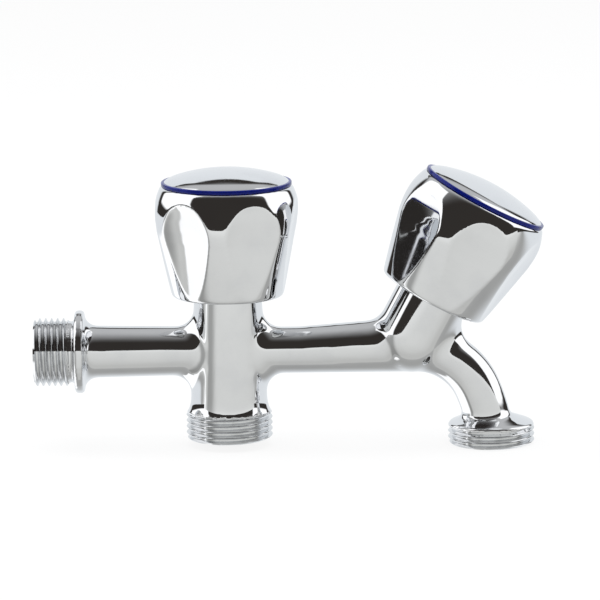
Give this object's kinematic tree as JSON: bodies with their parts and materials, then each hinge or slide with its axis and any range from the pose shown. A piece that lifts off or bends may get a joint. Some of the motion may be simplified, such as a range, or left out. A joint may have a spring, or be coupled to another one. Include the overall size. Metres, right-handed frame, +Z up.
{
  "type": "double wall tap",
  "caption": "Wall-mounted tap with an upright and an angled screw-down valve, faceted knobs, a straight threaded outlet and a curved threaded spout.",
  "frame": {"origin": "centre of the wall flange's face towards the wall, on the axis of the inlet pipe", "axes": "+X away from the wall along the pipe, +Z up along the upright valve, +Y to the back of the pictured side"},
  "size_m": [0.1561, 0.0448, 0.0863],
  "materials": {
    "chrome_plate": "mirror-bright plating",
    "chrome_cap": "bright, lightly brushed",
    "brass": "machined",
    "fibre": "matt",
    "black_rubber": "matt",
    "spring_steel": "satin",
    "blue_plastic": "gloss"
  },
  "bodies": {
    "tap": {"tap_casting": "chrome_plate", "upright_bonnet": "brass", "upright_bonnet_gasket": "fibre", "angled_bonnet": "brass", "angled_bonnet_gasket": "fibre"},
    "upright_turning_set": {"upright_spindle": "brass", "upright_spindle_seals": "black_rubber", "upright_spindle_circlip": "spring_steel", "upright_knob": "chrome_plate", "upright_knob_screw": "spring_steel", "upright_index_ring": "blue_plastic", "upright_index_cap": "chrome_cap"},
    "upright_plunger_set": {"upright_plunger": "brass", "upright_seat_washer": "black_rubber", "upright_washer_screw": "brass"},
    "angled_turning_set": {"angled_spindle": "brass", "angled_spindle_seals": "black_rubber", "angled_spindle_circlip": "spring_steel", "angled_knob": "chrome_plate", "angled_knob_screw": "spring_steel", "angled_index_ring": "blue_plastic", "angled_index_cap": "chrome_cap"},
    "angled_plunger_set": {"angled_plunger": "brass", "angled_seat_washer": "black_rubber", "angled_washer_screw": "brass"}
  },
  "joints": [
    {"name": "upright_knob_turn", "type": "hinge", "parent": "tap", "child": "upright_turning_set", "pos_m": [0.047, 0, 0.024], "axis": [0, 0, 1], "range_deg": [0, 900]},
    {"name": "upright_plunger_lift", "type": "slide", "parent": "tap", "child": "upright_plunger_set", "axis": [0, 0, 1], "range_m": [0, 0.0051]},
    {"name": "angled_knob_turn", "type": "hinge", "parent": "tap", "child": "angled_turning_set", "pos_m": [0.11264, 0, 0.02207], "axis": [0.4695, 0, 0.8829], "range_deg": [0, 900]},
    {"name": "angled_plunger_lift", "type": "slide", "parent": "tap", "child": "angled_plunger_set", "axis": [0.4695, 0, 0.8829], "range_m": [0, 0.0051]}
  ],
  "couplings": [
    {"joint": "upright_plunger_lift", "follows": "upright_knob_turn", "m_per_rad": 0.00031831},
    {"joint": "angled_plunger_lift", "follows": "angled_knob_turn", "m_per_rad": 0.00031831}
  ]
}
